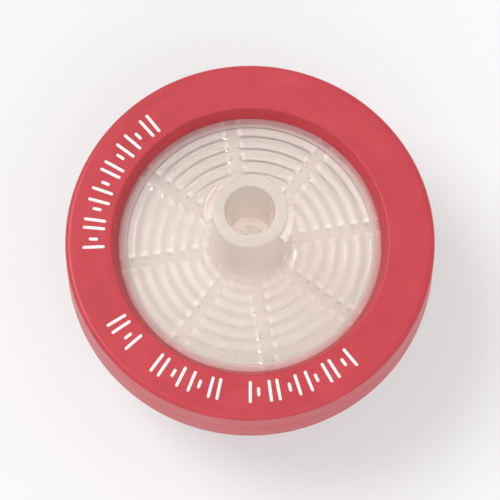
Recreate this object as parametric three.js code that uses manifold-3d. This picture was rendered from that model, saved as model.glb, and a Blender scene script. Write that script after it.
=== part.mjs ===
import * as THREE from 'three';
import { mergeVertices } from 'three/addons/utils/BufferGeometryUtils.js';
import Module from 'manifold-3d';

const wasm = await Module();
wasm.setup();

// A 25 mm syringe filter. The flow axis is Z, the inlet is on top, and the outlet tip stands on z = 0.
// All lengths are in millimetres.

// Membrane
const MEMBRANE_DIAMETER = 25;
const MEMBRANE_THICKNESS = 0.2;
const MEMBRANE_CLEARANCE = 0.15; // between its edge and the wall round it
const CLAMP_WIDTH = 1.1; // how far in from its edge the housings grip it

// Red ring, moulded round the two housings and over the clamped border
const RING_HEIGHT = 6;
const RING_WALL = 1.8; // outside the housings
const RING_EDGE_RADIUS = 0.45;
const RING_LIP_SLOPE = 0.6; // how much wider the opening is at the ring's face than at the window

// Housings
const INLET_PLATE = 1.1;
const OUTLET_PLATE = 1;
const OUTLET_WALL = 1.55; // round the membrane
const HEADSPACE = 0.35; // from the membrane up to the inlet ridges
const SPIGOT_CLEARANCE = 0.1; // between the inlet half and the outlet wall that it nests in
const WINDOW_STEP_WIDTH = 0.75; // raised border of the inlet window
const WINDOW_STEP_HEIGHT = 0.18;

// Ridges that spread the liquid, inside the inlet housing
const RIDGE_HEIGHT = 0.35;
const RIDGE_PITCH = 1.1;
const RIDGE_WIDTH = 0.75;
const FIRST_RIDGE_RADIUS = 2.6;

// Ribs that carry the membrane, inside the outlet housing
const RIB_HEIGHT = 0.4;
const RIB_PITCH = 1.4;
const RIB_WIDTH = 0.7;
const RIB_CREST = 0.4;
const FIRST_RIB_RADIUS = 2.6;

// Radial channels through the ridges and the ribs
const CHANNELS = 8;
const CHANNEL_WIDTH = 0.8;
const RIDGE_MARGIN = 0.25; // from the last ridge or rib to the clamped border

// Luer fittings
const LUER_TAPER = 0.06; // on the diameter
const EDGE_CHAMFER = 0.15;

// Female luer lock hub
const INLET_LENGTH = 9.2; // above the ring
const HUB_DIAMETER = 6.5;
const HUB_DRAFT = 0.04; // on the diameter
const HUB_FILLET = 0.7;
const SOCKET_MOUTH = 4.3;
const SOCKET_DEPTH = 8.6;
const INLET_ORIFICE = 2.4;
const LUG_RISE = 0.665; // from the hub's wall
const LUG_HEIGHT = 1.4;
const LUG_CREST = 0.7;
const LUG_WIDTH = 3.5;
const LUG_SETBACK = 0.12; // from the hub's end
const LUG_SINK = 0.4; // into the hub's wall
const LUG_FACETS = 6;
const LOCK_LEAD = 5;

// Male luer slip tip
const OUTLET_LENGTH = 8.8; // below the ring
const TIP_DIAMETER = 3.97;
const OUTLET_BORE = 2.7;
const COLLAR_DIAMETER = 6.2;
const COLLAR_HEIGHT = 1.1;
const COLLAR_FILLET = 0.5;

const FACETS = 64;
const ARC_STEPS = 3;
const CUT_OVERSHOOT = 0.1; // how far a cutter reaches past the face that it opens

// Heights, from the outlet tip up
const housingStack =
  OUTLET_PLATE + RIB_HEIGHT + MEMBRANE_THICKNESS + HEADSPACE + RIDGE_HEIGHT + INLET_PLATE;
const recess = (RING_HEIGHT - housingStack) / 2;
const ringBottom = OUTLET_LENGTH;
const ringTop = ringBottom + RING_HEIGHT;
const outletFace = ringBottom + recess;
const ribFloor = outletFace + OUTLET_PLATE;
const membraneSeat = ribFloor + RIB_HEIGHT;
const membraneTop = membraneSeat + MEMBRANE_THICKNESS;
const ridgeTips = membraneTop + HEADSPACE;
const ridgeRoof = ridgeTips + RIDGE_HEIGHT;
const inletFace = ridgeRoof + INLET_PLATE;
const hubTop = ringTop + INLET_LENGTH;

// Radii
const membraneRadius = MEMBRANE_DIAMETER / 2;
const windowRadius = membraneRadius - CLAMP_WIDTH;
const wallRadius = membraneRadius + MEMBRANE_CLEARANCE;
const spigotRadius = wallRadius - SPIGOT_CLEARANCE;
const flangeRadius = wallRadius + OUTLET_WALL;
const ringRadius = flangeRadius + RING_WALL;
const lastRidgeRadius = windowRadius - RIDGE_MARGIN;

const naturalPlastic = new THREE.MeshStandardMaterial({ color: 0xe3dbd1, roughness: 0.35 });
const redPlastic = new THREE.MeshStandardMaterial({ color: 0xc8202e, roughness: 0.38 });
const whiteMembrane = new THREE.MeshStandardMaterial({ color: 0xf4f3f0, roughness: 0.9 });

// [radius, height] points of an arc in a profile, from one angle to the other, in degrees.
function arc(centreRadius, centreHeight, radius, fromDegrees, toDegrees) {
  const points = [];
  for (let step = 0; step <= ARC_STEPS; step += 1) {
    const angle = THREE.MathUtils.degToRad(
      THREE.MathUtils.lerp(fromDegrees, toDegrees, step / ARC_STEPS),
    );
    points.push([centreRadius + radius * Math.cos(angle), centreHeight + radius * Math.sin(angle)]);
  }
  return points;
}

// A solid of revolution about Z from [radius, height] points, listed counter-clockwise.
function turned(profile) {
  const loop = [...profile, profile[0]].map(([radius, height]) => new THREE.Vector2(radius, height));
  return new THREE.LatheGeometry(loop, FACETS).rotateX(Math.PI / 2);
}

function toSolid(geometry) {
  const bare = geometry.clone();
  bare.deleteAttribute('normal');
  bare.deleteAttribute('uv');
  const merged = mergeVertices(bare);
  const mesh = new wasm.Mesh({
    numProp: 3,
    vertProperties: new Float32Array(merged.getAttribute('position').array),
    triVerts: new Uint32Array(merged.getIndex().array),
  });
  return new wasm.Manifold(mesh);
}

function toGeometry(solid) {
  const { vertProperties, triVerts } = solid.getMesh();
  const geometry = new THREE.BufferGeometry();
  geometry.setAttribute('position', new THREE.BufferAttribute(vertProperties, 3));
  geometry.setIndex(new THREE.BufferAttribute(triVerts, 1));
  geometry.computeVertexNormals();
  return geometry;
}

// Radii of concentric ridges, from the first one out, as long as each stays inside the outer radius.
function ringRadii(first, pitch, width, outer) {
  const radii = [];
  for (let radius = first; radius + width / 2 <= outer; radius += pitch) {
    radii.push(radius);
  }
  return radii;
}

// Straight bars through the axis, one for each pair of opposite channels, between two heights.
function channelCutters(radius, bottom, top) {
  return Array.from({ length: CHANNELS / 2 }, (_, index) => {
    const bar = new THREE.BoxGeometry(2 * radius, CHANNEL_WIDTH, top - bottom);
    bar.translate(0, 0, (bottom + top) / 2);
    bar.rotateZ(((index + 0.5) * 2 * Math.PI) / CHANNELS);
    return toSolid(bar);
  });
}

// One lug of the luer lock: a block bent round the hub that climbs along the thread.
function lug(turn) {
  const outer = HUB_DIAMETER / 2 + LUG_RISE;
  const inner = HUB_DIAMETER / 2 - LUG_SINK;
  const sweep = LUG_WIDTH / outer;
  const climb = (LOCK_LEAD * sweep) / (2 * Math.PI);
  const middle = hubTop - LUG_SETBACK - (LUG_HEIGHT + climb) / 2;
  const block = new THREE.BoxGeometry(outer - inner, sweep, LUG_HEIGHT, 1, LUG_FACETS, 1);
  const position = block.getAttribute('position');
  for (let index = 0; index < position.count; index += 1) {
    const isCrest = position.getX(index) > 0;
    const radius = isCrest ? outer : inner;
    const angle = position.getY(index);
    const flank = isCrest ? LUG_CREST / LUG_HEIGHT : 1;
    const height = middle + position.getZ(index) * flank + (climb * angle) / sweep;
    position.setXYZ(index, radius * Math.cos(angle), radius * Math.sin(angle), height);
  }
  return toSolid(block.rotateZ(turn));
}

function inletHousing() {
  const hubRadius = HUB_DIAMETER / 2;
  const hubLength = hubTop - inletFace;
  const hubRoot = hubRadius + (HUB_DRAFT * hubLength) / 2;
  const socketBottom = hubTop - SOCKET_DEPTH;
  const mouth = SOCKET_MOUTH / 2;
  const socketEnd = mouth - (LUER_TAPER * SOCKET_DEPTH) / 2;
  const stepRadius = windowRadius - WINDOW_STEP_WIDTH;
  const stepFace = inletFace - WINDOW_STEP_HEIGHT;
  const ridges = ringRadii(FIRST_RIDGE_RADIUS, RIDGE_PITCH, RIDGE_WIDTH, lastRidgeRadius);
  const body = turned([
    [INLET_ORIFICE / 2, ridgeRoof],
    ...ridges.flatMap((radius) => [
      [radius - RIDGE_WIDTH / 2, ridgeRoof],
      [radius, ridgeTips],
      [radius + RIDGE_WIDTH / 2, ridgeRoof],
    ]),
    [windowRadius, ridgeRoof],
    [windowRadius, membraneTop],
    [spigotRadius, membraneTop],
    [spigotRadius, ridgeRoof],
    [flangeRadius, ridgeRoof],
    [flangeRadius, inletFace],
    [stepRadius, inletFace],
    [stepRadius, stepFace],
    ...arc(hubRoot + HUB_FILLET, stepFace + HUB_FILLET, HUB_FILLET, 270, 180),
    [hubRadius, hubTop - EDGE_CHAMFER],
    [hubRadius - EDGE_CHAMFER, hubTop],
    [mouth + EDGE_CHAMFER, hubTop],
    [mouth, hubTop - EDGE_CHAMFER],
    [socketEnd, socketBottom],
    [INLET_ORIFICE / 2, socketBottom],
  ]);
  const channels = channelCutters(lastRidgeRadius, ridgeTips - CUT_OVERSHOOT, ridgeRoof);
  const cut = channels.reduce((solid, channel) => solid.subtract(channel), toSolid(body));
  return toGeometry(cut.add(lug(0)).add(lug(Math.PI)));
}

function outletHousing() {
  const bore = OUTLET_BORE / 2;
  const tip = TIP_DIAMETER / 2;
  const collarRadius = COLLAR_DIAMETER / 2;
  const collarBottom = outletFace - COLLAR_HEIGHT;
  const filletStart = collarBottom - COLLAR_FILLET;
  const coneEnd = tip + (LUER_TAPER * filletStart) / 2;
  const ribs = ringRadii(FIRST_RIB_RADIUS, RIB_PITCH, RIB_WIDTH, lastRidgeRadius);
  const body = turned([
    [bore, 0],
    [tip - EDGE_CHAMFER, 0],
    [tip, EDGE_CHAMFER],
    ...arc(coneEnd + COLLAR_FILLET, filletStart, COLLAR_FILLET, 180, 90),
    [collarRadius, collarBottom],
    [collarRadius, outletFace],
    [flangeRadius, outletFace],
    [flangeRadius, ridgeRoof],
    [wallRadius, ridgeRoof],
    [wallRadius, membraneSeat],
    [windowRadius, membraneSeat],
    [windowRadius, ribFloor],
    ...ribs.reverse().flatMap((radius) => [
      [radius + RIB_WIDTH / 2, ribFloor],
      [radius + RIB_CREST / 2, membraneSeat],
      [radius - RIB_CREST / 2, membraneSeat],
      [radius - RIB_WIDTH / 2, ribFloor],
    ]),
    [bore, ribFloor],
  ]);
  const channels = channelCutters(lastRidgeRadius, ribFloor, membraneSeat + CUT_OVERSHOOT);
  return toGeometry(channels.reduce((solid, channel) => solid.subtract(channel), toSolid(body)));
}

function membrane() {
  return new THREE.CylinderGeometry(membraneRadius, membraneRadius, MEMBRANE_THICKNESS, FACETS)
    .rotateX(Math.PI / 2)
    .translate(0, 0, (membraneSeat + membraneTop) / 2);
}

function overmouldRing() {
  const edge = RING_EDGE_RADIUS;
  const lipRadius = windowRadius + RING_LIP_SLOPE;
  return turned([
    [lipRadius, ringBottom],
    ...arc(ringRadius - edge, ringBottom + edge, edge, 270, 360),
    ...arc(ringRadius - edge, ringTop - edge, edge, 0, 90),
    [lipRadius, ringTop],
    [windowRadius, inletFace],
    [flangeRadius, inletFace],
    [flangeRadius, outletFace],
    [windowRadius, outletFace],
  ]);
}

function piece(name, geometry, material) {
  const mesh = new THREE.Mesh(geometry, material);
  mesh.name = name;
  return mesh;
}

const filter = new THREE.Group();
filter.add(piece('inlet_housing', inletHousing(), naturalPlastic));
filter.add(piece('outlet_housing', outletHousing(), naturalPlastic));
filter.add(piece('membrane', membrane(), whiteMembrane));
filter.add(piece('overmould_ring', overmouldRing(), redPlastic));

export default filter;
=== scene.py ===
import math
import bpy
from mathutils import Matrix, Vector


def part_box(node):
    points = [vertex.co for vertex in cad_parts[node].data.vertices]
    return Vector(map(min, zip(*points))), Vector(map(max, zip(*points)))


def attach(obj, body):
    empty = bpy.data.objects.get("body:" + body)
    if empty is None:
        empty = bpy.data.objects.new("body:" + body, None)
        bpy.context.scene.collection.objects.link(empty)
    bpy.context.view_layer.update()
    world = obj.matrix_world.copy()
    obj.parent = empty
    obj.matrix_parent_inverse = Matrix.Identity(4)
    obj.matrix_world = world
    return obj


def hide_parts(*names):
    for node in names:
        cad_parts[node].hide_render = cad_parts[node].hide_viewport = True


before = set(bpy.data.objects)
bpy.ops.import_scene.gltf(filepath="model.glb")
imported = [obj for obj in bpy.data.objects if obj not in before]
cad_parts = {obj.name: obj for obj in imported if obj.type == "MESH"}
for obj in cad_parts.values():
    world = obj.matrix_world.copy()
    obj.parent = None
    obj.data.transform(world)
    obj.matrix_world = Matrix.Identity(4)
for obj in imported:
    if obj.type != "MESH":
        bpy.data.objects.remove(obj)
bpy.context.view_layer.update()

from types import SimpleNamespace

import bpy
from mathutils import Vector


# ---------------------------------------------------------------------------------------------------
# Outlet housing: the lower half, a disc of natural polypropylene moulded in one shot with its male luer
# slip tip. Ribs on its floor carry the membrane, and eight radial channels lead the filtrate to the bore.
# ---------------------------------------------------------------------------------------------------
MM = 0.001


def box_mm(node):
    """Lowest and highest corner of a CAD node, in millimetres."""
    low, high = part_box(node)
    return low / MM, high / MM


outlet_low, outlet_high = box_mm("outlet_housing")
membrane_low, membrane_high = box_mm("membrane")

# Sizes in millimetres, as on every piece below.
CLAMP_WIDTH = 1.1  # how far in from its edge the housings grip the membrane
MEMBRANE_CLEARANCE = 0.15
HAIR_GAP = 0.012  # between two pieces that touch, so that light passes each surface once
OUTLET_PLATE = 1.0
OUTLET_BORE = 2.7
TIP_DIAMETER = 3.97
LUER_TAPER = 0.06  # on the diameter
COLLAR_DIAMETER = 6.2
COLLAR_HEIGHT = 1.1
RIB_HEIGHT = 0.4
RIB_PITCH = 1.4
RIB_WIDTH = 0.7
RIB_CREST = 0.4
FIRST_RIB_RADIUS = 2.6
RIDGE_MARGIN = 0.25  # from the last ridge or rib to the clamped border
CHANNELS = 8
CHANNEL_WIDTH = 0.8
CHANNEL_EDGE = 0.16
TIP_EDGE = 0.15
COLLAR_FILLET = 0.5
FINE_EDGE = 0.05  # on the edges that a mould leaves crisp
OUTLET_SEGMENTS = 320

joint_plane = outlet_high.z
flange_radius = outlet_high.x
membrane_seat = membrane_low.z
membrane_radius = membrane_high.x
window_radius = membrane_radius - CLAMP_WIDTH
wall_radius = membrane_radius + MEMBRANE_CLEARANCE
last_ridge_radius = window_radius - RIDGE_MARGIN
rib_floor = membrane_seat - RIB_HEIGHT
outlet_face = rib_floor - OUTLET_PLATE


def add(tree, kind, inputs=None, **settings):
    """A node with its settings, and its inputs set to a value or joined to another node's socket."""
    node = tree.nodes.new(kind)
    for name, value in settings.items():
        setattr(node, name, value)
    for name, value in (inputs or {}).items():
        if isinstance(value, bpy.types.NodeSocket):
            tree.links.new(value, node.inputs[name])
        else:
            node.inputs[name].default_value = value
    return node


def calc(tree, operation, *values):
    """The result of a Math node on numbers or sockets."""
    return add(tree, "ShaderNodeMath", dict(enumerate(values)), operation=operation).outputs[0]


def geometry_tree(name, *inputs):
    """An empty Geometry Nodes tree with its named inputs, and the sockets that they arrive on."""
    tree = bpy.data.node_groups.new(name, "GeometryNodeTree")
    for label, kind in inputs:
        tree.interface.new_socket(name=label, in_out="INPUT", socket_type="NodeSocket" + kind)
    tree.interface.new_socket(name="Result", in_out="OUTPUT", socket_type="NodeSocketGeometry")
    return tree, add(tree, "NodeGroupInput").outputs


def close_tree(tree, geometry, finish):
    """Ends a tree: smooth faces, real geometry and the piece's material."""
    smooth = add(tree, "GeometryNodeSetShadeSmooth", {"Geometry": geometry}).outputs["Geometry"]
    real = add(tree, "GeometryNodeRealizeInstances", {"Geometry": smooth}).outputs["Geometry"]
    coated = add(tree, "GeometryNodeSetMaterial", {"Geometry": real, "Material": finish})
    add(tree, "NodeGroupOutput", {"Result": coated.outputs["Geometry"]})
    return tree


def merge(tree, geometry):
    """Joins points that lie on each other."""
    seam = 0.001 * MM
    merged = add(tree, "GeometryNodeMergeByDistance", {"Geometry": geometry, "Distance": seam})
    return merged.outputs["Geometry"]


def kept_value(tree, name):
    """The number that each point keeps under a name."""
    return add(tree, "GeometryNodeInputNamedAttribute", {"Name": name}).outputs["Attribute"]


def position(tree):
    return add(tree, "GeometryNodeInputPosition").outputs["Position"]


def vector(tree, x=0.0, y=0.0, z=0.0):
    return add(tree, "ShaderNodeCombineXYZ", {"X": x, "Y": y, "Z": z}).outputs["Vector"]


def from_channel(tree, distance, turn, spacing):
    """How far a point lies from the middle line of the nearest radial channel."""
    phase = calc(tree, "WRAP", turn, spacing, 0)
    off_line = calc(tree, "ABSOLUTE", calc(tree, "SUBTRACT", phase, calc(tree, "DIVIDE", spacing, 2)))
    return calc(tree, "MULTIPLY", distance, calc(tree, "SINE", off_line))


def turned_moulding():
    """Turns profile points about Z. Radial channels press each point to the height that it has for them."""
    tree, given = geometry_tree(
        "turned moulding",
        ("Profile", "Geometry"),
        ("Segments", "Int"),
        ("Channels", "Int"),
        ("Channel Width", "Float"),
        ("Channel Edge", "Float"),
        ("Finish", "Material"),
    )
    size = add(tree, "GeometryNodeAttributeDomainSize", {"Geometry": given["Profile"]})
    count = size.outputs["Point Count"]
    rows = calc(tree, "ADD", count, 1)
    columns = calc(tree, "ADD", given["Segments"], 1)
    grid = add(tree, "GeometryNodeMeshGrid", {"Vertices X": columns, "Vertices Y": rows})
    index = add(tree, "GeometryNodeInputIndex").outputs["Index"]
    segment = calc(tree, "FLOOR", calc(tree, "DIVIDE", index, rows))
    row = calc(tree, "SUBTRACT", index, calc(tree, "MULTIPLY", segment, rows))

    def of_profile(value, kind):
        """A value of the profile point that this row of the grid stands for."""
        inputs = {
            "Geometry": given["Profile"],
            "Value": value,
            "Index": calc(tree, "MODULO", row, count),
        }
        return add(tree, "GeometryNodeSampleIndex", inputs, data_type=kind).outputs["Value"]

    place = of_profile(position(tree), "FLOAT_VECTOR")
    axes = add(tree, "ShaderNodeSeparateXYZ", {"Vector": place}).outputs
    radius, height = axes["X"], axes["Z"]
    pressed_height = of_profile(kept_value(tree, "channel_height"), "FLOAT")

    turn = calc(tree, "DIVIDE", calc(tree, "MULTIPLY", segment, math.tau), given["Segments"])
    spacing = calc(tree, "DIVIDE", math.tau, given["Channels"])
    half_width = calc(tree, "DIVIDE", given["Channel Width"], 2)
    bank = {
        "Value": from_channel(tree, radius, turn, spacing),
        "From Min": calc(tree, "ADD", half_width, given["Channel Edge"]),
        "From Max": half_width,
    }
    share = add(tree, "ShaderNodeMapRange", bank, interpolation_type="SMOOTHSTEP").outputs["Result"]
    fall = calc(tree, "MULTIPLY", calc(tree, "SUBTRACT", pressed_height, height), share)
    point = vector(
        tree,
        calc(tree, "MULTIPLY", radius, calc(tree, "COSINE", turn)),
        calc(tree, "MULTIPLY", radius, calc(tree, "SINE", turn)),
        calc(tree, "ADD", height, fall),
    )
    moved = {"Geometry": grid.outputs["Mesh"], "Position": point}
    wrapped = add(tree, "GeometryNodeSetPosition", moved).outputs["Geometry"]
    return close_tree(tree, merge(tree, wrapped), given["Finish"])


MOULDING = turned_moulding()


def bake(piece, tree=None, **values):
    """Turns what a piece's modifiers make into its own plain mesh. A tree is run first, with its inputs."""
    if tree is not None:
        modifier = piece.modifiers.new(tree.name, "NODES")
        modifier.node_group = tree
        for item in tree.interface.items_tree:
            label = item.name.lower().replace(" ", "_")
            if item.in_out == "INPUT" and label in values:
                modifier[item.identifier] = values[label]
    depsgraph = bpy.context.evaluated_depsgraph_get()
    finished = piece.evaluated_get(depsgraph)
    mesh = bpy.data.meshes.new_from_object(finished, preserve_all_data_layers=True, depsgraph=depsgraph)
    piece.modifiers.clear()
    piece.data = mesh
    if None in list(mesh.materials):
        mesh.materials.pop(index=0)
    return piece


def new_piece(name, points, faces=()):
    """A piece of its own in the scene, from points in millimetres."""
    mesh = bpy.data.meshes.new(name)
    mesh.from_pydata([Vector(point) * MM for point in points], [], list(faces))
    piece = bpy.data.objects.new(name, mesh)
    bpy.context.scene.collection.objects.link(piece)
    return piece


def rounded(corners):
    """Points round a closed section with each (radius, height, rounding) corner rounded, in millimetres.
    A long straight gets a point close to both its ends, which keeps its shading flat."""
    near_end = 0.12
    large_rounding = 0.2
    large_step, small_step = math.radians(12), math.radians(30)
    arcs = []
    for index, (radius, height, rounding) in enumerate(corners):
        here = Vector((radius, height))
        back = (Vector(corners[index - 1][:2]) - here).normalized()
        ahead = (Vector(corners[(index + 1) % len(corners)][:2]) - here).normalized()
        half = back.angle(ahead) / 2
        centre = here + (back + ahead).normalized() * rounding / math.sin(half)
        start = here + back * rounding / math.tan(half) - centre
        sweep = math.copysign(math.pi - 2 * half, back.cross(ahead) * -1)
        count = max(1, math.ceil(abs(sweep) / (large_step if rounding > large_rounding else small_step)))
        arc = []
        for share in range(count + 1):
            turn = sweep * share / count
            across = start.x * math.cos(turn) - start.y * math.sin(turn)
            up = start.x * math.sin(turn) + start.y * math.cos(turn)
            arc.append(centre + Vector((across, up)))
        arcs.append(arc)
    points = []
    for arc, following in zip(arcs, arcs[1:] + arcs[:1]):
        points.extend(arc)
        straight = following[0] - arc[-1]
        if straight.length > 3 * near_end:
            points.append(arc[-1] + straight.normalized() * near_end)
            points.append(following[0] - straight.normalized() * near_end)
    return points


def ring_radii(first, pitch, width):
    """Radii of concentric ridges, as long as each stays inside the last ridge's outer edge."""
    count = math.floor((last_ridge_radius - width / 2 - first) / pitch) + 1
    return [first + pitch * number for number in range(count)]


def turned(name, section, finish, segments, channel_height=None):
    """A moulding turned from a section. channel_height gives where a point goes in a channel."""
    piece = new_piece(name, [(point.x, 0, point.y) for point in section])
    kept = [channel_height(*point) if channel_height else point.y for point in section]
    attribute = piece.data.attributes.new("channel_height", "FLOAT", "POINT")
    attribute.data.foreach_set("value", [height * MM for height in kept])
    return bake(
        piece,
        MOULDING,
        segments=segments,
        channels=CHANNELS,
        channel_width=CHANNEL_WIDTH * MM,
        channel_edge=CHANNEL_EDGE * MM,
        finish=finish,
    )


def outlet_section():
    """The outlet housing's outline from its bore out, along its underside, and back over the ribs."""
    bore = OUTLET_BORE / 2
    tip = TIP_DIAMETER / 2
    collar_radius = COLLAR_DIAMETER / 2
    collar_bottom = outlet_face - COLLAR_HEIGHT
    cone_end = tip + LUER_TAPER * collar_bottom / 2
    seat = membrane_seat - HAIR_GAP
    corners = [
        (bore, outlet_low.z, TIP_EDGE / 2),
        (tip, outlet_low.z, TIP_EDGE),
        (cone_end, collar_bottom, COLLAR_FILLET),
        (collar_radius, collar_bottom, TIP_EDGE),
        (collar_radius, outlet_face, TIP_EDGE),
        (flange_radius, outlet_face, FINE_EDGE),
        (flange_radius, joint_plane - HAIR_GAP, FINE_EDGE),
        (wall_radius, joint_plane - HAIR_GAP, FINE_EDGE),
        (wall_radius, seat, FINE_EDGE),
        (window_radius, seat, FINE_EDGE),
        (window_radius, rib_floor, FINE_EDGE),
    ]
    for radius in reversed(ring_radii(FIRST_RIB_RADIUS, RIB_PITCH, RIB_WIDTH)):
        corners += [
            (radius + RIB_WIDTH / 2, rib_floor, FINE_EDGE),
            (radius + RIB_CREST / 2, seat, FINE_EDGE),
            (radius - RIB_CREST / 2, seat, FINE_EDGE),
            (radius - RIB_WIDTH / 2, rib_floor, FINE_EDGE),
        ]
    return rounded(corners + [(bore, rib_floor, TIP_EDGE)])


def rib_channel(radius, height):
    """Ribs are pressed down to the floor in a channel."""
    on_a_rib = FIRST_RIB_RADIUS - RIB_WIDTH < radius < last_ridge_radius and height > rib_floor
    return rib_floor if on_a_rib else height


def inside_outlet(radius, height):
    return radius < wall_radius + FINE_EDGE and height > rib_floor - FINE_EDGE


# Natural polypropylene, the finish of both housings.
MILKY = (0.9, 0.815, 0.765)
CLEAR = (1.0, 0.955, 0.925)
SATIN = SimpleNamespace(
    clearness=(0.68, 0.6),  # share of the light that goes through, in the window and in the luer fitting
    roughness=(0.14, 0.24),
    lamp_tint=(0.92, 0.88, 0.85),  # share of a lamp's light that one surface lets through
)
POLISHED = SimpleNamespace(clearness=(1, 1), roughness=(0.08, 0.14), lamp_tint=(0.23, 0.2, 0.18))
FITTING_RADIUS = 3.4  # where the thick luer fitting begins to thin out to the window
FITTING_FADE = 1.0
SOFT_INDEX = 1.36  # lower than the solid's own, because its milkiness softens what is seen through it
CLOUD_SIZE = 3.8
GRAIN_SIZE = 0.19
STREAK_TURN = 0.12  # in radians
STREAK_LENGTH = 6.0
RIDGE_MILK = 0.2  # share of light that a ridge's end stops
RIDGE_SHARE = 0.42  # of that, along the rest of the ridge, so that its end stands out as a painted glint
GLINT_LENGTH = 0.4  # of the painted glint, a light spot of colour at a ridge's end
PAINTED_RING_LIGHT = (0.92, 0.42, 0.44)  # painted red light from the ring, in the border of the window
PAINTED_RING_LIGHT_WIDTH = 0.75
PAINTED_RING_LIGHT_SHARE = 0.9
SHADE_SHARES = (0.25, 0.55, 0.2)  # of clouds, ridges with their painted end glints, and streaks
RELIEF_SHARES = (0.7, 0.12, 0.18)  # of ridges, grain and streaks
RELIEF_DEPTH = 0.018
UNEVEN = (0.6, 1.4)  # where the sum of two noises mostly lies

fitting_to_window = (FITTING_RADIUS * MM, (FITTING_RADIUS + FITTING_FADE) * MM)


def new_look(name):
    """A material with a Principled shader, and where a point is: place, distance, turn and height."""
    material = bpy.data.materials.new(name)
    material.use_nodes = True
    tree = material.node_tree
    tree.nodes.clear()
    shader = add(tree, "ShaderNodeBsdfPrincipled")
    add(tree, "ShaderNodeOutputMaterial", {"Surface": shader.outputs["BSDF"]})
    place = add(tree, "ShaderNodeTexCoord").outputs["Object"]
    axes = add(tree, "ShaderNodeSeparateXYZ", {"Vector": place}).outputs
    squares = [calc(tree, "MULTIPLY", axes[name], axes[name]) for name in "XY"]
    return SimpleNamespace(
        material=material,
        tree=tree,
        shader=shader,
        place=place,
        distance=calc(tree, "SQRT", calc(tree, "ADD", *squares)),
        turn=calc(tree, "ARCTAN2", axes["Y"], axes["X"]),
        height=axes["Z"],
    )


def drive(look, name, value):
    look.tree.links.new(value, look.shader.inputs[name])


def noise(tree, place, size, detail=2.0, roughness=0.5):
    """Cloudy noise from 0 to 1, with features of a size."""
    inputs = {"Vector": place, "Scale": 1 / size, "Detail": detail, "Roughness": roughness}
    return add(tree, "ShaderNodeTexNoise", inputs).outputs["Fac"]


def span(tree, value, low, high, from_low=0.0, from_high=1.0):
    """Maps a value from one range to another, and keeps it there."""
    inputs = {"Value": value, "From Min": from_low, "From Max": from_high, "To Min": low, "To Max": high}
    return add(tree, "ShaderNodeMapRange", inputs).outputs["Result"]


def layered(tree, layers, shares):
    """The sum of some layers, each by its share."""
    total = 0.0
    for layer, share in zip(layers, shares):
        total = calc(tree, "ADD", total, calc(tree, "MULTIPLY", layer, share))
    return total


def blend_colour(tree, share, first, second):
    """A colour between two, by a share from 0 to 1."""
    ramp = add(tree, "ShaderNodeValToRGB", {"Fac": share})
    ramp.color_ramp.elements[0].color = (*first, 1)
    ramp.color_ramp.elements[1].color = (*second, 1)
    return ramp.outputs["Color"]


def emboss(look, height, depth):
    """Gives the surface a relief from a height between 0 and 1."""
    relief = add(look.tree, "ShaderNodeBump", {"Height": height, "Distance": depth * MM, "Strength": 1})
    drive(look, "Normal", relief.outputs["Normal"])


def ridges_and_painted_glints(look, first_ridge, pitch):
    """Where ridges lie behind a wall: 1 at their ends beside a channel, a painted glint, less along them, 0
    elsewhere.
    """
    tree = look.tree
    from_first = calc(tree, "SUBTRACT", look.distance, first_ridge * MM)
    wave = calc(tree, "COSINE", calc(tree, "MULTIPLY", from_first, math.tau / (pitch * MM)))
    last, faded = last_ridge_radius * MM, (last_ridge_radius + pitch / 2) * MM
    across = from_channel(tree, look.distance, look.turn, math.tau / CHANNELS)
    bank, crest = CHANNEL_WIDTH / 2 * MM, (CHANNEL_WIDTH / 2 + CHANNEL_EDGE) * MM
    glint = GLINT_LENGTH * MM
    limits = (
        span(tree, look.distance, 0, 1, *fitting_to_window),
        span(tree, look.distance, 1, 0, last, faded),
        span(tree, across, 0, 1, bank, crest),
        span(tree, across, 1, RIDGE_SHARE, crest + glint / 2, crest + glint),
    )
    share = span(tree, wave, 0, 1, -1, 1)
    for limit in limits:
        share = calc(tree, "MULTIPLY", share, limit)
    return share


def pass_light(look, tint):
    """Lets a lamp's light through a clear wall, tinted, so that what the wall covers is lit."""
    tree = look.tree
    lamp_ray = add(tree, "ShaderNodeLightPath").outputs["Is Shadow Ray"]
    gap = add(tree, "ShaderNodeBsdfTransparent", {"Color": (*tint, 1)}).outputs["BSDF"]
    wall = add(tree, "ShaderNodeMixShader", {0: lamp_ray, 1: look.shader.outputs["BSDF"], 2: gap})
    tree.links.new(wall.outputs["Shader"], tree.get_output_node("ALL").inputs["Surface"])


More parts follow.
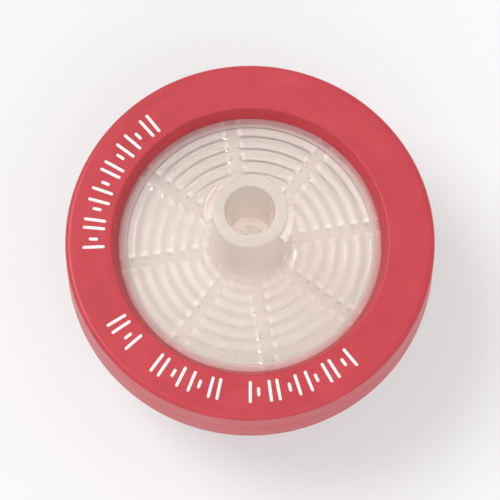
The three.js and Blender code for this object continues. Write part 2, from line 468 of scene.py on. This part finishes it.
def natural_polypropylene(name, first_ridge, pitch, finish):
    """Unpigmented polypropylene: warm and milky, more so over the ridges behind, with painted glints at
    their ends, and painted pink light from the ring by its border.
    """
    look = new_look(name)
    tree = look.tree
    clouds = noise(tree, look.place, CLOUD_SIZE * MM, detail=4)
    grain = noise(tree, look.place, GRAIN_SIZE * MM, detail=3)
    across_streaks = calc(tree, "DIVIDE", look.turn, STREAK_TURN)
    along_streaks = calc(tree, "DIVIDE", look.distance, STREAK_LENGTH * MM)
    streaks = noise(tree, vector(tree, across_streaks, along_streaks), 1, detail=3)
    # milkier over the ridges behind, where the plastic is thicker, with a painted glint at each ridge's end
    ridges = ridges_and_painted_glints(look, first_ridge, pitch)
    shade = layered(tree, (clouds, ridges, streaks), SHADE_SHARES)
    natural = blend_colour(tree, shade, MILKY, CLEAR)
    # painted red light from the ring, over the window's border
    inner, outer = (window_radius - PAINTED_RING_LIGHT_WIDTH) * MM, window_radius * MM
    ring_light_share = span(tree, look.distance, 0, PAINTED_RING_LIGHT_SHARE, inner, outer)
    # A mix of colours has its share on socket 0, its colours on 6 and 7, and its result on 2.
    tinted = add(tree, "ShaderNodeMix", {0: ring_light_share, 6: natural, 7: (*PAINTED_RING_LIGHT, 1)}, data_type="RGBA")
    drive(look, "Base Color", tinted.outputs[2])
    drive(look, "Roughness", span(tree, calc(tree, "ADD", clouds, grain), *finish.roughness, *UNEVEN))
    emboss(look, layered(tree, (ridges, grain, streaks), RELIEF_SHARES), RELIEF_DEPTH)
    window, fitting = finish.clearness
    if window == fitting:
        look.shader.inputs["Transmission Weight"].default_value = window
    else:
        clearness = span(tree, look.distance, fitting, window, *fitting_to_window)
        milk = calc(tree, "MULTIPLY", ridges, RIDGE_MILK)
        drive(look, "Transmission Weight", calc(tree, "SUBTRACT", clearness, milk))
    look.shader.inputs["IOR"].default_value = SOFT_INDEX
    pass_light(look, finish.lamp_tint)
    return look.material


def polish(piece, finish, is_inside):
    """Gives a housing's faces another finish inside the filter, where the mould is polished."""
    piece.data.materials.append(finish)
    for face in piece.data.polygons:
        centre = face.center / MM
        face.material_index = int(is_inside(math.hypot(centre.x, centre.y), centre.z))


outlet_ribs = (FIRST_RIB_RADIUS, RIB_PITCH)
outlet_satin = natural_polypropylene("outlet plastic", *outlet_ribs, SATIN)
outlet_polished = natural_polypropylene("outlet inside", *outlet_ribs, POLISHED)
outlet_shell = turned("outlet_shell", outlet_section(), outlet_satin, OUTLET_SEGMENTS, rib_channel)
polish(outlet_shell, outlet_polished, inside_outlet)
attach(outlet_shell, "root")
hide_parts("outlet_housing")


# ---------------------------------------------------------------------------------------------------
# Membrane: a 25 mm disc punched from white PTFE film on a bonded support mesh. It lies on the ribs, and
# the two housings pinch its border.
# ---------------------------------------------------------------------------------------------------
FILM_SHADE = (0.87, 0.855, 0.84)
FILM_LIGHT = (0.95, 0.94, 0.93)
FILM_ROUGHNESS = 0.85
FIBRE_SIZE = 0.11
FIBRE_STRETCH = 0.18  # across the film, of their size along it
PATCH_SIZE = 2.4
THREAD_PITCH = 0.42
THREAD_WAVER = 0.4
FILM_TONE_SHARES = (0.4, 0.6)  # of fibres and patches
FILM_RELIEF_SHARES = (0.35, 0.65)  # of the support mesh's threads and fibres
FILM_DEPTH = 0.012


def ptfe_film():
    """Dead white, with fibres drawn one way over the faint squares of the support mesh."""
    look = new_look("PTFE membrane")
    tree = look.tree
    drawn = add(tree, "ShaderNodeMapping", {"Vector": look.place, "Scale": (1, FIBRE_STRETCH, 1)})
    fibres = noise(tree, drawn.outputs["Vector"], FIBRE_SIZE * MM, detail=5, roughness=0.65)
    patches = noise(tree, look.place, PATCH_SIZE * MM, detail=3)
    waves_per_unit = 20 / math.tau  # that the wave texture makes at scale 1
    scale = 1 / (THREAD_PITCH * MM * waves_per_unit)
    wave = {"Vector": look.place, "Scale": scale, "Distortion": THREAD_WAVER}
    threads = [add(tree, "ShaderNodeTexWave", wave, bands_direction=axis).outputs["Fac"] for axis in "XY"]
    weave = calc(tree, "MAXIMUM", *threads)
    tone = layered(tree, (fibres, patches), FILM_TONE_SHARES)
    drive(look, "Base Color", blend_colour(tree, tone, FILM_SHADE, FILM_LIGHT))
    emboss(look, layered(tree, (weave, fibres), FILM_RELIEF_SHARES), FILM_DEPTH)
    look.shader.inputs["Roughness"].default_value = FILM_ROUGHNESS
    return look.material


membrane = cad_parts["membrane"]
membrane.data.materials.clear()
membrane.data.materials.append(ptfe_film())


# ---------------------------------------------------------------------------------------------------
# Inlet housing: the upper half, again one shot of natural polypropylene, with the female luer lock hub.
# Fine concentric ridges under its window spread the liquid, and it nests in the outlet half's wall.
# ---------------------------------------------------------------------------------------------------
inlet_high = box_mm("inlet_housing")[1]

INLET_PLATE = 1.1
SPIGOT_CLEARANCE = 0.1
RIDGE_HEIGHT = 0.35
RIDGE_PITCH = 1.1
RIDGE_WIDTH = 0.75
FIRST_RIDGE_RADIUS = 2.6
WINDOW_STEP_WIDTH = 0.75  # raised border of the window
WINDOW_STEP_HEIGHT = 0.18
HUB_DIAMETER = 6.5
HUB_DRAFT = 0.04  # on the diameter
HUB_FILLET = 0.7
HUB_EDGE = 0.15
SOCKET_MOUTH = 4.3
SOCKET_DEPTH = 8.6
INLET_ORIFICE = 2.4
INLET_SEGMENTS = 384
LOCK_LEAD = 5  # that the lugs climb in a whole turn
LUG_RISE = 0.665  # from the hub's wall
LUG_SINK = 0.4  # into the hub's wall
LUG_HEIGHT = 1.4
LUG_CREST = 0.7
LUG_WIDTH = 3.5
LUG_SETBACK = 0.12
LUG_ZONE = 2.4  # part of the hub that the lugs stay within, with a row of points under it for even shading
LUG_STEPS = 16
LUG_EDGE = 0.12
LUG_EDGE_STEPS = 3
CREASE = math.radians(38)  # a sharper bend than this keeps its line

inlet_face = joint_plane + INLET_PLATE
hub_top = inlet_high.z
ridge_tips = joint_plane - RIDGE_HEIGHT


def inlet_section():
    """The inlet housing's outline from its orifice out, past the ridges, and back over the hub."""
    hub = HUB_DIAMETER / 2
    hub_root = hub + HUB_DRAFT * (hub_top - inlet_face) / 2
    spigot = wall_radius - SPIGOT_CLEARANCE
    spigot_end = membrane_high.z + HAIR_GAP
    step_radius = window_radius - WINDOW_STEP_WIDTH
    step_face = inlet_face - WINDOW_STEP_HEIGHT
    mouth = SOCKET_MOUTH / 2
    socket_bottom = hub_top - SOCKET_DEPTH
    socket_end = mouth - LUER_TAPER * SOCKET_DEPTH / 2
    corners = [(INLET_ORIFICE / 2, joint_plane, FINE_EDGE)]
    for radius in ring_radii(FIRST_RIDGE_RADIUS, RIDGE_PITCH, RIDGE_WIDTH):
        corners += [
            (radius - RIDGE_WIDTH / 2, joint_plane, FINE_EDGE),
            (radius, ridge_tips, FINE_EDGE),
            (radius + RIDGE_WIDTH / 2, joint_plane, FINE_EDGE),
        ]
    corners += [
        (window_radius, joint_plane, FINE_EDGE),
        (window_radius, spigot_end, FINE_EDGE),
        (spigot, spigot_end, FINE_EDGE),
        (spigot, joint_plane, FINE_EDGE),
        (flange_radius, joint_plane, FINE_EDGE),
        (flange_radius, inlet_face, FINE_EDGE),
        (step_radius, inlet_face, FINE_EDGE),
        (step_radius, step_face, FINE_EDGE),
        (hub_root, step_face, HUB_FILLET),
        (hub + HUB_DRAFT * LUG_ZONE / 2, hub_top - LUG_ZONE, FINE_EDGE),
        (hub, hub_top, HUB_EDGE),
        (mouth, hub_top, HUB_EDGE),
        (socket_end, socket_bottom, FINE_EDGE),
        (INLET_ORIFICE / 2, socket_bottom, HUB_EDGE),
    ]
    return rounded(corners)


def ridge_channel(radius, height):
    """Ridges are pressed up to the joint plane in a channel."""
    on_a_ridge = FIRST_RIDGE_RADIUS - RIDGE_WIDTH < radius < last_ridge_radius and height < joint_plane
    return joint_plane if on_a_ridge else height


def inside_inlet(radius, height):
    return height < joint_plane + FINE_EDGE


def lock_lugs():
    """Two blocks on opposite sides of the hub, bent round it and climbing along the lock's thread."""
    outer = HUB_DIAMETER / 2 + LUG_RISE
    inner = HUB_DIAMETER / 2 - LUG_SINK
    sweep = LUG_WIDTH / outer
    climb = LOCK_LEAD * sweep / math.tau
    middle = hub_top - LUG_SETBACK - (LUG_HEIGHT + climb) / 2
    outline = [(inner, -LUG_HEIGHT), (outer, -LUG_CREST), (outer, LUG_CREST), (inner, LUG_HEIGHT)]
    sides = len(outline)
    points, faces = [], []
    for side in (0, math.pi):
        first = len(points)
        for step in range(LUG_STEPS + 1):
            share = step / LUG_STEPS - 0.5
            angle = side + sweep * share
            for radius, rise in outline:
                height = middle + climb * share + rise / 2
                points.append((radius * math.cos(angle), radius * math.sin(angle), height))
        last = first + LUG_STEPS * sides
        for start in range(first, last, sides):
            for corner in range(sides):
                here, beside = start + corner, start + (corner + 1) % sides
                faces.append((here, beside, beside + sides, here + sides))
        faces.append(tuple(first + corner for corner in reversed(range(sides))))
        faces.append(tuple(last + corner for corner in range(sides)))
    lugs = new_piece("lock_lugs", points, faces)
    edges = lugs.modifiers.new("moulded edges", "BEVEL")
    edges.width = LUG_EDGE * MM
    edges.segments = LUG_EDGE_STEPS
    edges.limit_method = "ANGLE"
    return bake(lugs)


inlet_ridges = (FIRST_RIDGE_RADIUS, RIDGE_PITCH)
inlet_satin = natural_polypropylene("inlet plastic", *inlet_ridges, SATIN)
inlet_polished = natural_polypropylene("inlet inside", *inlet_ridges, POLISHED)
inlet_shell = turned("inlet_shell", inlet_section(), inlet_satin, INLET_SEGMENTS, ridge_channel)
lugs = lock_lugs()
lugs.data.materials.append(inlet_satin)
union = inlet_shell.modifiers.new("lugs", "BOOLEAN")
union.operation = "UNION"
union.solver = "MANIFOLD"
union.object = lugs
bake(inlet_shell)
bpy.data.objects.remove(lugs)
polish(inlet_shell, inlet_polished, inside_inlet)
inlet_shell.data.shade_smooth()
inlet_shell.data.set_sharp_from_angle(angle=CREASE)
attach(inlet_shell, "root")
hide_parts("inlet_housing")


# ---------------------------------------------------------------------------------------------------
# Ring: red polypropylene moulded over the edges of both housings, which seals them round the membrane
# for good. Its inner edge slopes down to the recessed window on both sides, and the two halves of its
# mould leave a fine line round the rim.
# ---------------------------------------------------------------------------------------------------
ring_low, ring_high = box_mm("overmould_ring")

RING_EDGE = 0.45
RING_LIP_SLOPE = 0.6
LIP_EDGE = 0.12
PARTING_WIDTH = 0.09
PARTING_DEPTH = 0.025
PARTING_EDGE = 0.015
RING_SEGMENTS = 384
RED_SHADE = (0.52, 0.03, 0.045)
RED_LIGHT = (0.6, 0.042, 0.06)
RED_ROUGHNESS = (0.3, 0.42)  # not down to 0.26, where the glossiest patches come out with dark outlines
RED_GLOW = 0.2  # share of the light that scatters under the surface
RED_REACH = (1.0, 0.25, 0.2)
RED_REACH_SCALE = 0.6
SWIRL_WIDTH = 1.4
SWIRL_STRETCH = 4  # how much longer than wide
TINT_CLOUD_SIZE = 3.3
SATIN_SIZE = 0.15
SATIN_SHARES = (0.3, 0.7)  # of grain and swirls in the relief
SATIN_DEPTH = 0.016
STRONG_TONE = (0.7, 1.3)  # range of the summed noises that the two reds span


def ring_section():
    """The ring's outline, with a groove inside that holds both housings' edges."""
    lip = window_radius + RING_LIP_SLOPE
    groove = flange_radius + HAIR_GAP
    rim = ring_high.x
    middle = (ring_low.z + ring_high.z) / 2
    return rounded(
        [
            (lip, ring_low.z, LIP_EDGE),
            (rim, ring_low.z, RING_EDGE),
            (rim, middle - PARTING_WIDTH / 2, PARTING_EDGE),
            (rim - PARTING_DEPTH, middle, PARTING_EDGE),
            (rim, middle + PARTING_WIDTH / 2, PARTING_EDGE),
            (rim, ring_high.z, RING_EDGE),
            (lip, ring_high.z, LIP_EDGE),
            (window_radius, inlet_face + HAIR_GAP, FINE_EDGE),
            (groove, inlet_face + HAIR_GAP, FINE_EDGE),
            (groove, outlet_face - HAIR_GAP, FINE_EDGE),
            (window_radius, outlet_face - HAIR_GAP, FINE_EDGE),
        ]
    )


def red_polypropylene():
    """Satin red, with slow swirls where the colour flowed round the ring and a fine moulded grain."""
    look = new_look("red polypropylene")
    tree = look.tree
    circle = ring_high.x / SWIRL_STRETCH * MM
    swirl_place = vector(
        tree,
        calc(tree, "MULTIPLY", calc(tree, "COSINE", look.turn), circle),
        calc(tree, "MULTIPLY", calc(tree, "SINE", look.turn), circle),
        calc(tree, "ADD", look.distance, look.height),
    )
    swirls = noise(tree, swirl_place, SWIRL_WIDTH * MM, detail=4)
    clouds = noise(tree, look.place, TINT_CLOUD_SIZE * MM, detail=3)
    grain = noise(tree, look.place, SATIN_SIZE * MM, detail=2)
    tone = span(tree, calc(tree, "ADD", swirls, clouds), 0, 1, *STRONG_TONE)
    drive(look, "Base Color", blend_colour(tree, tone, RED_SHADE, RED_LIGHT))
    drive(look, "Roughness", span(tree, calc(tree, "ADD", clouds, swirls), *RED_ROUGHNESS, *UNEVEN))
    emboss(look, layered(tree, (grain, swirls), SATIN_SHARES), SATIN_DEPTH)
    look.shader.inputs["Subsurface Weight"].default_value = RED_GLOW
    look.shader.inputs["Subsurface Radius"].default_value = RED_REACH
    look.shader.inputs["Subsurface Scale"].default_value = RED_REACH_SCALE * MM
    return look.material


ring_shell = turned("ring_shell", ring_section(), red_polypropylene(), RING_SEGMENTS)
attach(ring_shell, "root")
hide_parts("overmould_ring")


# ---------------------------------------------------------------------------------------------------
# Print: white ink stamped on the ring's inlet face in two arcs of marks. The marks are plain strokes and
# say nothing.
# ---------------------------------------------------------------------------------------------------
INK_FILM = 0.02
MARK_RADIUS = 13.55  # middle of the marks
MARK_HEIGHT = 1.95
MARK_PITCH = 1.72
STROKE_WIDTH = 0.28
STROKE_GAP = 0.72
SHORT_STROKE = 0.8
STROKE_CORNERS = 16  # round both ends of a stroke
LOWER_ARC = (-38.5, (6, 4, 2))  # where the arc starts, in degrees, and the marks in each of its groups
LEFT_ARC = (194.5, (8,))
INK_THIN = (0.9, 0.83, 0.81)
INK_THICK = (0.95, 0.93, 0.91)
INK_ROUGHNESS = (0.7, 0.5)
INK_PATCH_SIZE = 0.38
INK_DEPTH = 0.006


def print_strokes():
    """Lays a round-ended bar of ink on each point, along the ring's radius, as long as the point says."""
    tree, given = geometry_tree(
        "print strokes",
        ("Points", "Geometry"),
        ("Stroke Width", "Float"),
        ("Ink Film", "Float"),
        ("Corners", "Int"),
        ("Finish", "Material"),
    )
    half = calc(tree, "DIVIDE", given["Stroke Width"], 2)
    outline = {"Vertices": given["Corners"], "Radius": half}
    disc = add(tree, "GeometryNodeMeshCircle", outline, fill_type="NGON").outputs["Mesh"]
    film = add(tree, "GeometryNodeExtrudeMesh", {"Mesh": disc, "Offset Scale": given["Ink Film"]})
    drop = add(tree, "GeometryNodeJoinGeometry")
    tree.links.new(film.outputs["Mesh"], drop.inputs[0])
    tree.links.new(add(tree, "GeometryNodeFlipFaces", {"Mesh": disc}).outputs["Mesh"], drop.inputs[0])
    along = add(tree, "ShaderNodeSeparateXYZ", {"Vector": position(tree)}).outputs["X"]
    hair = 0.001 * MM
    ends = {
        "Geometry": merge(tree, drop.outputs[0]),
        "Name": "end",
        "Value": calc(tree, "SIGN", calc(tree, "SNAP", along, hair)),
    }
    marked = add(tree, "GeometryNodeStoreNamedAttribute", ends, data_type="FLOAT", domain="POINT")
    turn = kept_value(tree, "turn")
    copies = {
        "Points": given["Points"],
        "Instance": marked.outputs["Geometry"],
        "Rotation": vector(tree, z=turn),
    }
    drops = add(tree, "GeometryNodeInstanceOnPoints", copies).outputs["Instances"]
    laid = add(tree, "GeometryNodeRealizeInstances", {"Geometry": drops}).outputs["Geometry"]
    reach = calc(tree, "SUBTRACT", calc(tree, "DIVIDE", kept_value(tree, "length"), 2), half)
    pull = calc(tree, "MULTIPLY", kept_value(tree, "end"), reach)
    stretch = vector(
        tree,
        calc(tree, "MULTIPLY", pull, calc(tree, "COSINE", turn)),
        calc(tree, "MULTIPLY", pull, calc(tree, "SINE", turn)),
    )
    stretched = add(tree, "GeometryNodeSetPosition", {"Geometry": laid, "Offset": stretch})
    return close_tree(tree, stretched.outputs["Geometry"], given["Finish"])


def marks(start_degrees, groups):
    """Strokes of one arc of marks, clockwise from its start: the turn and length of each."""
    kinds = [(MARK_HEIGHT, SHORT_STROKE), (MARK_HEIGHT, MARK_HEIGHT), (SHORT_STROKE, MARK_HEIGHT)]
    strokes = []
    cell = 0
    for group in groups:
        for _ in range(group):
            turn = math.radians(start_degrees) - cell * MARK_PITCH / MARK_RADIUS
            beside = STROKE_GAP / 2 / MARK_RADIUS
            first, second = kinds[cell % len(kinds)]
            strokes += [(turn + beside, first), (turn - beside, second)]
            cell += 1
        cell += 1
    return strokes


def white_ink():
    """Matt white ink, a little thin here and there."""
    look = new_look("white ink")
    thickness = noise(look.tree, look.place, INK_PATCH_SIZE * MM, detail=4, roughness=0.6)
    drive(look, "Base Color", blend_colour(look.tree, thickness, INK_THIN, INK_THICK))
    drive(look, "Roughness", span(look.tree, thickness, *INK_ROUGHNESS))
    emboss(look, thickness, INK_DEPTH)
    return look.material


strokes = marks(*LOWER_ARC) + marks(*LEFT_ARC)
ink_base = ring_high.z - HAIR_GAP
spots = [(MARK_RADIUS * math.cos(turn), MARK_RADIUS * math.sin(turn), ink_base) for turn, _ in strokes]
print_marks = new_piece("print_marks", spots)
turns = print_marks.data.attributes.new("turn", "FLOAT", "POINT")
turns.data.foreach_set("value", [turn for turn, _ in strokes])
lengths = print_marks.data.attributes.new("length", "FLOAT", "POINT")
lengths.data.foreach_set("value", [length * MM for _, length in strokes])
bake(
    print_marks,
    print_strokes(),
    stroke_width=STROKE_WIDTH * MM,
    ink_film=(INK_FILM + HAIR_GAP) * MM,
    corners=STROKE_CORNERS,
    finish=white_ink(),
)
print_marks.data.set_sharp_from_angle(angle=CREASE)
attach(print_marks, "root")


# ---------------------------------------------------------------------------------------------------
# Studio: a pale floor under the tip, soft light from the upper left, and a long lens that looks down on
# the inlet side.
# ---------------------------------------------------------------------------------------------------
FLOOR_REACH = 20000
FLOOR_WHITE = 0.9
FLOOR_GLOW = 0.35  # share of the floor's look that is its own white, where it is seen
ROOM_LIGHT = 0.56
ROOM_WHITE = 0.97  # of the room where it is seen
CAMERA_AZIMUTH = 13.5  # degrees to the right of the -Y side
CAMERA_ELEVATION = 74
LENS = 400
FRAME_TO_RING = 1.36  # width of the picture, in ring diameters
SIGHT = (0.01, 100)  # nearest and farthest that the camera sees, in metres


def seen(tree):
    """1 for rays that show a surface, straight or by way of gloss and clear plastic, and 0 for the rest."""
    ray = add(tree, "ShaderNodeLightPath").outputs
    mirrored = calc(tree, "MAXIMUM", ray["Is Glossy Ray"], ray["Is Transmission Ray"])
    return calc(tree, "MAXIMUM", ray["Is Camera Ray"], mirrored)


def pale_floor():
    """Matt white, with part of it shining by itself where it is seen, which softens the shadow on it."""
    material = bpy.data.materials.new("pale floor")
    material.use_nodes = True
    tree = material.node_tree
    tree.nodes.clear()
    matt = add(tree, "ShaderNodeBsdfDiffuse", {"Color": (FLOOR_WHITE, FLOOR_WHITE, FLOOR_WHITE, 1)})
    own = add(tree, "ShaderNodeEmission", {"Strength": 1}).outputs["Emission"]
    share = calc(tree, "MULTIPLY", seen(tree), FLOOR_GLOW)
    paint = add(tree, "ShaderNodeMixShader", {0: share, 1: matt.outputs["BSDF"], 2: own})
    add(tree, "ShaderNodeOutputMaterial", {"Surface": paint.outputs["Shader"]})
    return material


def direction(azimuth, elevation):
    """From the part towards a camera or a lamp, in degrees: azimuth 0 is -Y, and 90 is +X."""
    side, rise = math.radians(azimuth), math.radians(elevation)
    return Vector((math.sin(side) * math.cos(rise), -math.cos(side) * math.cos(rise), math.sin(rise)))


def sun(name, azimuth, elevation, spread, strength):
    """A soft lamp far away. Azimuth 0 shines from the camera's side, and 90 from the right."""
    data = bpy.data.lights.new(name, "SUN")
    data.angle = math.radians(spread)
    data.energy = strength
    lamp = bpy.data.objects.new(name, data)
    lamp.rotation_mode = "QUATERNION"
    lamp.rotation_quaternion = direction(CAMERA_AZIMUTH + azimuth, elevation).to_track_quat("Z", "Y")
    bpy.context.scene.collection.objects.link(lamp)


floor_corners = [(x * FLOOR_REACH, y * FLOOR_REACH, 0) for x, y in ((-1, -1), (1, -1), (1, 1), (-1, 1))]
floor = new_piece("floor", floor_corners, [(0, 1, 2, 3)])
floor.data.materials.append(pale_floor())

sun("key", azimuth=-116, elevation=58, spread=30, strength=1.3)
sun("fill", azimuth=15, elevation=45, spread=60, strength=0.65)

world = bpy.data.worlds.new("studio")
bpy.context.scene.world = world
world.use_nodes = True
world.node_tree.nodes.clear()
room_strength = span(world.node_tree, seen(world.node_tree), ROOM_LIGHT, ROOM_WHITE)
room = add(world.node_tree, "ShaderNodeBackground", {"Color": (1, 1, 1, 1), "Strength": room_strength})
add(world.node_tree, "ShaderNodeOutputWorld", {"Surface": room.outputs["Background"]})

camera_data = bpy.data.cameras.new("camera")
camera_data.lens = LENS
camera_data.clip_start, camera_data.clip_end = SIGHT
camera = bpy.data.objects.new("camera", camera_data)
bpy.context.scene.collection.objects.link(camera)
bpy.context.scene.camera = camera
towards = direction(CAMERA_AZIMUTH, CAMERA_ELEVATION)
frame_width = FRAME_TO_RING * 2 * ring_high.x * MM
target = Vector((0, 0, (ring_low.z + ring_high.z) / 2 * MM))
camera.location = target + towards * frame_width * LENS / camera_data.sensor_width
camera.rotation_mode = "QUATERNION"
camera.rotation_quaternion = towards.to_track_quat("Z", "Y")

bpy.context.scene.view_settings.view_transform = "Standard"
